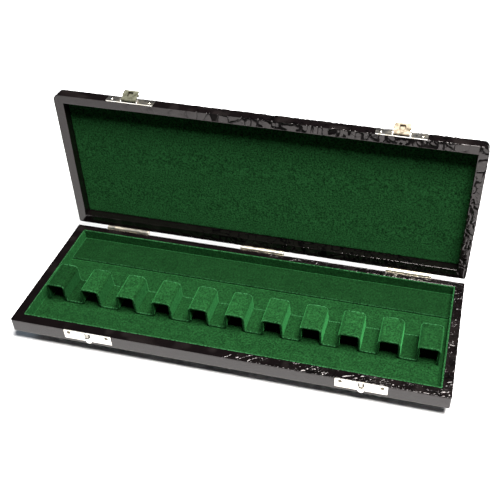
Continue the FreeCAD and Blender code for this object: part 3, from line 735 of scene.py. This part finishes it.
def lattice_box(low, high, step):
    """The surface of a box as an even grid of quads."""
    low, high = np.array(low), np.array(high)
    counts = np.maximum(2, np.round((high - low) / step)).astype(int)
    mesh = bmesh.new()
    for axis in range(3):
        u, v = (axis + 1) % 3, (axis + 2) % 3
        for side in (0, 1):
            grid = []
            for i in range(counts[u] + 1):
                for j in range(counts[v] + 1):
                    place = np.zeros(3)
                    place[axis] = (low, high)[side][axis]
                    place[u] = low[u] + (high[u] - low[u]) * i / counts[u]
                    place[v] = low[v] + (high[v] - low[v]) * j / counts[v]
                    grid.append(mesh.verts.new(place))
            for face in sheet_faces(counts[u] + 1, counts[v] + 1):
                corners = [grid[k] for k in face]
                mesh.faces.new(corners if side else corners[::-1])
    bmesh.ops.remove_doubles(mesh, verts=mesh.verts, dist=mm(0.01))
    points = np.array([v.co for v in mesh.verts])
    mesh.verts.index_update()
    faces = [[v.index for v in f.verts] for f in mesh.faces]
    mesh.free()
    return points, faces


def velvet_board(
    name, low, high, step, radius, swell, body, highlight_strength, pile,
    material=VELVET, matrix=Matrix.Identity(4),
):
    """Card wrapped in velvet: rounded edges, an uneven surface, a painted highlight along its upper edges,
    and painted light and shade from pile.
    """
    points, faces = lattice_box(low, high, step)
    low, high = np.array(low), np.array(high)
    inner_low, inner_high = low + radius, high - radius
    core = np.clip(points, inner_low, inner_high)
    away = points - core
    length = np.linalg.norm(away, axis=1, keepdims=True)
    direction = away / np.maximum(length, 1e-9)
    points = core + radius * direction
    rough = 0.6 * soft_noise(points, mm(2.2), SEED + 60) + 0.4 * soft_noise(points, mm(7), SEED + 61)
    points = points + direction * (swell * rough)[:, None]
    bend = 1.0 - np.max(np.abs(direction), axis=1)
    upper = smoothstep(0.2, 0.9, (points[:, 2] - low[2]) / (high[2] - low[2]))
    edge = smoothstep(0.02, 0.25, bend) * upper
    piece = new_piece(name, moved(points, matrix), faces, material, body)
    # Painted highlight along the upper edges; pile gives painted light above 0 and painted shade below it.
    set_attribute(piece, "edge", highlight_strength * np.clip(edge, 0, 1))
    set_attribute(piece, "pile", pile * np.ones(len(points)))
    return piece


STRIP_STEP = mm(0.6)
PANEL_STEP = mm(1.4)
VELVET_UNEVEN = mm(0.12)

for side in ("front", "back", "left", "right"):
    node = f"lining_{side}"
    low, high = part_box(node)
    # The lining strips carry a painted highlight along their upper edges and painted light on their faces.
    strip = velvet_board(
        f"velvet_{side}_strip", low, high, STRIP_STEP, mm(0.5), VELVET_UNEVEN, "base", 1.0, 0.6
    )
    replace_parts(strip, node)

# The back pad is darkened with painted shade and carries a faint painted highlight; the floor has neither.
for node, name, radius, edge, pile in (
    ("lining_floor", "velvet_floor", mm(0.45), 0.0, 0.0),
    ("back_pad", "velvet_back_pad", mm(0.6), 0.3, -1.0),
):
    low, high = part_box(node)
    panel = velvet_board(name, low, high, PANEL_STEP, radius, VELVET_UNEVEN, "base", edge, pile)
    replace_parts(panel, node)

low, high = lid_box("lid_lining")
low, high = low - Vector((LINING_GAP, LINING_GAP, 0)), high + Vector((LINING_GAP, LINING_GAP, 0))
panel = velvet_board(
    "velvet_lid_panel", low, high, PANEL_STEP, mm(0.28), mm(0.1), "lid", 0.0, 0.0, LID_VELVET, LID_PLACE
)
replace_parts(panel, "lid_lining")

# ---------------------------------------------------------------- pen rest

HUMPS = 11
REST_SHEET = mm(2.2)
WIDE_BEND = mm(4.6)
TIGHT_BEND = mm(1.4)
HUMP_TOP = mm(20)
HUMP_FOOT = mm(21.6)
# How much wider the humps on the right are, on each side.
WIDER_RIGHT = mm(1.1)
# How strong the painted highlight along an edge of the sheet is, and how ragged that edge is; True is for the
# back edge.
REST_EDGE = {False: 0.45, True: 1.0}
REST_ROW = mm(1.3)
REST_BULGE = mm(0.5)
# Painted shade on the first and the last hump, which stand beside the walls: how much the pile attribute is
# lowered there.
FIRST_HUMP_SHADE = 1.9
LAST_HUMP_SHADE = 1.0
RUN_STEPS = 12
BEND_STEPS = 7


def bent_path(corners, radii):
    """A path of straight runs joined by round bends, with the same number of points on every run and bend."""
    corners = [np.array(c) for c in corners]
    runs = [[corners[0]]]
    for before, corner, after, radius in zip(corners, corners[1:], corners[2:], radii):
        a = (before - corner) / np.linalg.norm(before - corner)
        b = (after - corner) / np.linalg.norm(after - corner)
        half = math.acos(np.clip(a @ b, -1, 1)) / 2
        centre = corner + (a + b) / np.linalg.norm(a + b) * radius / math.sin(half)
        start, end = corner + a * radius / math.tan(half), corner + b * radius / math.tan(half)
        first = math.atan2(start[1] - centre[1], start[0] - centre[0])
        last = math.atan2(end[1] - centre[1], end[0] - centre[0])
        turn = (last - first + math.pi) % (2 * math.pi) - math.pi
        angles = first + turn * np.linspace(0, 1, BEND_STEPS)
        runs[-1].append(start)
        runs.append([centre + radius * np.array([math.cos(t), math.sin(t)]) for t in angles])
        runs.append([end])
    runs[-1].append(corners[-1])
    path = []
    for run in runs:
        if len(run) == 2:
            t = np.linspace(0, 1, RUN_STEPS)[1:-1, None]
            run = run[0] + (run[1] - run[0]) * t
        path.extend(run)
    return np.array([corners[0], *path, corners[-1]])


def pen_rest():
    """A velvet-covered sheet bent into a row of humps; its front and back edges are a little ragged and carry
    a painted highlight, and its hump tops carry painted light.
    """
    low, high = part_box("pen_rest")
    rng = np.random.default_rng(SEED)
    pitch = (high.x - low.x - HUMP_FOOT) / (HUMPS - 1)
    upper, lower, upper_bends, lower_bends = [], [], [], []
    for k in range(HUMPS):
        centre = low.x + HUMP_FOOT / 2 + pitch * k + rng.uniform(-0.4, 0.4) * MM
        wider = WIDER_RIGHT * float(smoothstep(4.0, 8.0, k))
        shoulder = HUMP_TOP / 2 + wider + rng.uniform(-0.3, 0.3) * MM
        lean = rng.uniform(-0.4, 0.4) * MM
        top = high.z + rng.uniform(-0.35, 0.0) * MM
        foot = HUMP_FOOT / 2 + (wider if k < HUMPS - 1 else 0.0)
        upper += [
            (centre - foot, low.z + REST_SHEET), (centre - shoulder + lean, top),
            (centre + shoulder + lean, top), (centre + foot, low.z + REST_SHEET),
        ]
        inner_foot, inner_shoulder = foot - REST_SHEET, shoulder - REST_SHEET
        lower += [
            (centre - inner_foot, low.z), (centre - inner_shoulder + lean, top - REST_SHEET),
            (centre + inner_shoulder + lean, top - REST_SHEET), (centre + inner_foot, low.z),
        ]
        upper_bends += [TIGHT_BEND, WIDE_BEND, WIDE_BEND, TIGHT_BEND]
        lower_bends += [WIDE_BEND, TIGHT_BEND, TIGHT_BEND, WIDE_BEND]
    upper[0] = (low.x, low.z + REST_SHEET * 0.5)
    upper[-1] = (high.x, low.z + REST_SHEET * 0.5)
    upper_path = bent_path(upper, upper_bends[1:-1])
    lower_path = bent_path(lower, lower_bends[1:-1])

    half_depth = (high.y - low.y) / 2
    bulge = REST_BULGE
    rows = int((high.y - low.y) / REST_ROW)
    across = []
    for face, sign in ((0.0, 1), (1.0, -1)):
        for t in np.linspace(1, -1, rows + 1):
            at_end = REST_EDGE[sign * t > 0] * smoothstep(0.985, 1.0, abs(t)) * (1.0 - face)
            across.append((face, sign * t * (half_depth - bulge), at_end))
        for a in np.radians([22, 45, 68, 90, 112, 135, 158]):
            through = abs(face - (1 - math.cos(a)) / 2)
            lit = REST_EDGE[sign < 0] * (1.0 - smoothstep(0.1, 0.6, through))
            across.append((through, -sign * (half_depth - bulge + bulge * math.sin(a)), lit))
    across = np.array(across)
    count = len(across)
    points = np.zeros((len(upper_path), count, 3))
    flat = upper_path[:, None, :] + (lower_path - upper_path)[:, None, :] * across[None, :, :1]
    points[:, :, 0] = flat[:, :, 0]
    points[:, :, 1] = (low.y + high.y) / 2 + across[None, :, 1]
    points[:, :, 2] = flat[:, :, 1]
    points = points.reshape(-1, 3)
    edge = np.tile(across[:, 2], len(upper_path))
    points[:, 1] += mm(0.3) * soft_noise(points, mm(4), SEED + 70) * edge
    faces = [face[::-1] for face in sheet_faces(len(upper_path), count, closed_columns=True)]
    rough = 0.7 * soft_noise(points, mm(2.0), SEED + 71) + 0.3 * soft_noise(points, mm(6), SEED + 72)
    points = points + vertex_normals(points, faces) * (VELVET_UNEVEN * rough)[:, None]
    last = (len(upper_path) - 1) * count
    faces.append(tuple(range(count))[::-1])
    faces.append(tuple(last + k for k in range(count)))
    piece = new_piece("velvet_pen_rest", points, faces, VELVET, "base")
    # Painted highlight along the front and back edges.
    set_attribute(piece, "edge", edge)
    # Painted light on the hump tops, and painted shade on the humps beside the end walls.
    standing = smoothstep(high.z - mm(6), high.z - mm(1.5), points[:, 2])
    from_left, from_right = points[:, 0] - low.x, high.x - points[:, 0]
    for end_shade, from_wall in ((FIRST_HUMP_SHADE, from_left), (LAST_HUMP_SHADE, from_right)):
        standing -= end_shade * (1.0 - smoothstep(0.75 * pitch, 1.15 * pitch, from_wall))
    set_attribute(piece, "pile", np.clip(standing, -1.0, 1.0))
    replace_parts(piece, "pen_rest")


pen_rest()

# ---------------------------------------------------------------- materials of the carried-over pieces


def carried(prefixes, material):
    """Gives a material to the CAD nodes whose names start like this and that are still shown."""
    for name, node in frame["nodes"].items():
        if name.startswith(prefixes) and not node.hide_render:
            node.data.materials.clear()
            node.data.materials.append(material)


carried(("base_catch_left", "base_catch_right"), KEEPER_NICKEL)
carried(("lid_catch_left", "lid_catch_right"), CATCH_NICKEL)
carried(("hinge_left", "hinge_middle", "hinge_right"), HINGE_NICKEL)
carried(("hinge_left_pin", "hinge_middle_pin", "hinge_right_pin"), PIN_STEEL)
carried(("latch_left_pin", "latch_right_pin"), PIN_STEEL)
carried(("lid_catch_nails", "hinge_base_nails", "hinge_lid_nails"), NAIL_NICKEL)
carried(("base_catch_nails",), NAIL_DULL)
carried(("latch_left_lever",), TARNISHED_LEVER)
carried(("latch_right_lever",), LEVER_METAL)
carried(("base_underside_sheet",), UNDERSIDE)

# What is cut off each end of a board along its sides longer than LONG_SIDE, and along its other sides.
END_TRIM = mm(5.0)
FACE_TRIM = mm(0.4)
LONG_SIDE = mm(50)
BOARD_STEP = mm(6)


def core_board(node, low, high, body, matrix):
    """A core board with its ends cut back, so that its square corners stay inside the rounded skin."""
    trim = Vector([END_TRIM if side > LONG_SIDE else FACE_TRIM for side in high - low])
    points, faces = lattice_box(low + trim, high - trim, BOARD_STEP)
    piece = new_piece(f"core_{node}", moved(points, matrix), faces, BOARD, body, smooth=False)
    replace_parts(piece, node)


for node in [name for name in frame["nodes"] if name.endswith("_board")]:
    if node.startswith("base_"):
        core_board(node, *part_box(node), "base", Matrix.Identity(4))
    else:
        core_board(node, *lid_box(node), "lid", LID_PLACE)

# ---------------------------------------------------------------- floor, light and camera

SHEET_THICKNESS = mm(12)
UNDER_CASE = mm(0.05)
FLOOR_HALF = 6.0
SHEET_HALF = 1.2
# The floor that the camera sees glows up to plain white between these distances from the middle.
SWEEP_START = 0.32
SWEEP_END = 0.75
FLOOR_BOUNCE = rgb(0.03, 0.03, 0.03)
SHEET_REFLECTION = 0.02


def stage_sheet(name, z, size, material):
    """A flat square at height z that belongs to the stage; size is half its side."""
    grid = bmesh.new()
    bmesh.ops.create_grid(grid, x_segments=4, y_segments=4, size=size)
    mesh = bpy.data.meshes.new(name)
    grid.to_mesh(mesh)
    grid.free()
    mesh.materials.append(material)
    sheet = bpy.data.objects.new(name, mesh)
    sheet.location.z = z
    bpy.context.scene.collection.objects.link(sheet)


def floor_paint():
    """White floor that runs into a white sweep; it throws only a little light back on the case."""
    paint = Paint("white_floor")
    path = paint.add("ShaderNodeLightPath")
    mottle = paint.noise(3, 2, 0.5)
    seen = paint.mix(mottle, rgb(0.93, 0.93, 0.94), rgb(0.95, 0.95, 0.955))
    colour = paint.mix(path.outputs["Is Diffuse Ray"], seen, FLOOR_BOUNCE)
    reach = paint.add("ShaderNodeVectorMath")
    reach.operation = "LENGTH"
    paint.link(paint.place, reach.inputs[0])
    far = paint.remap(reach.outputs["Value"], SWEEP_START, SWEEP_END, 0.0, 1.5)
    glow = paint.math("MULTIPLY", far, path.outputs["Is Camera Ray"])
    return paint.finish(
        Base_Color=colour, Roughness=0.9, Specular_IOR_Level=0.1,
        Emission_Color=rgb(1, 1, 1), Emission_Strength=glow,
    )


def clear_sheet_paint():
    """A thin clear sheet: see-through, with a weak reflection."""
    paint = Paint("clear_sheet")
    clear = paint.add("ShaderNodeBsdfTransparent", Color=rgb(1, 1, 1))
    gloss = paint.add("ShaderNodeBsdfGlossy", Color=rgb(1, 1, 1), Roughness=0.08)
    mixed = paint.add("ShaderNodeMixShader", Fac=SHEET_REFLECTION)
    paint.link(clear.outputs[0], mixed.inputs[1])
    paint.link(gloss.outputs[0], mixed.inputs[2])
    paint.link(mixed.outputs[0], paint.output.inputs["Surface"])
    return paint.material


stage_sheet("floor", -SHEET_THICKNESS, FLOOR_HALF, floor_paint())
stage_sheet("clear_sheet", -UNDER_CASE, SHEET_HALF, clear_sheet_paint())

# The key light shines straight down; its target is 0.1 mm off, so that its turn about its own line is fixed.
KEY_PLACE = (0.45, -0.17, 1.6)
KEY_TARGET = (0.45, -0.1699, 0.0)
FILL_PLACE = (-1.7, -0.1, 1.0)
FILL_TARGET = (-0.1, 0.0, 0.0)
WARM_WHITE = (1.0, 0.985, 0.965)
SKY_BLUE = (0.66, 0.83, 1.0)
AMBIENT_COLOUR = rgb(0.75, 0.85, 1.0)
AMBIENT_STRENGTH = 0.010


def softbox(name, place, target, width, height, power, colour):
    """A rectangular lamp aimed at a target."""
    light = bpy.data.lights.new(name, "AREA")
    light.shape = "RECTANGLE"
    light.size, light.size_y = width, height
    light.energy = power
    light.color = colour
    lamp = bpy.data.objects.new(name, light)
    lamp.location = place
    lamp.rotation_mode = "QUATERNION"
    lamp.rotation_quaternion = (Vector(target) - Vector(place)).to_track_quat("-Z", "Y")
    bpy.context.scene.collection.objects.link(lamp)


softbox("key", KEY_PLACE, KEY_TARGET, 0.8, 0.95, 105, WARM_WHITE)
softbox("left_fill", FILL_PLACE, FILL_TARGET, 0.5, 0.5, 6, SKY_BLUE)

world = bpy.data.worlds.new("studio")
world.use_nodes = True
sky = world.node_tree
ambient = sky.nodes["Background"]
ambient.inputs["Color"].default_value = AMBIENT_COLOUR
ambient.inputs["Strength"].default_value = AMBIENT_STRENGTH
backdrop = sky.nodes.new("ShaderNodeBackground")
choose = sky.nodes.new("ShaderNodeMixShader")
ray = sky.nodes.new("ShaderNodeLightPath")
sky.links.new(ray.outputs["Is Camera Ray"], choose.inputs["Fac"])
sky.links.new(ambient.outputs[0], choose.inputs[1])
sky.links.new(backdrop.outputs[0], choose.inputs[2])
sky.links.new(choose.outputs[0], sky.nodes["World Output"].inputs["Surface"])
bpy.context.scene.world = world
bpy.context.scene.view_settings.view_transform = "Standard"

CAMERA_PLACE = (0.1867, -0.5410, 0.5597)
CAMERA_AZIMUTH = math.radians(13.255)
CAMERA_DROP = math.radians(42.219)
CAMERA_LENS = 55.09
CAMERA_SHIFT = (-0.0984, 0.0619)

camera_data = bpy.data.cameras.new("camera")
camera_data.lens = CAMERA_LENS
camera_data.shift_x, camera_data.shift_y = CAMERA_SHIFT
camera_data.clip_start = 0.01
camera = bpy.data.objects.new("camera", camera_data)
camera.location = CAMERA_PLACE
camera.rotation_euler = (math.pi / 2 - CAMERA_DROP, 0.0, CAMERA_AZIMUTH)
bpy.context.scene.collection.objects.link(camera)
bpy.context.scene.camera = camera
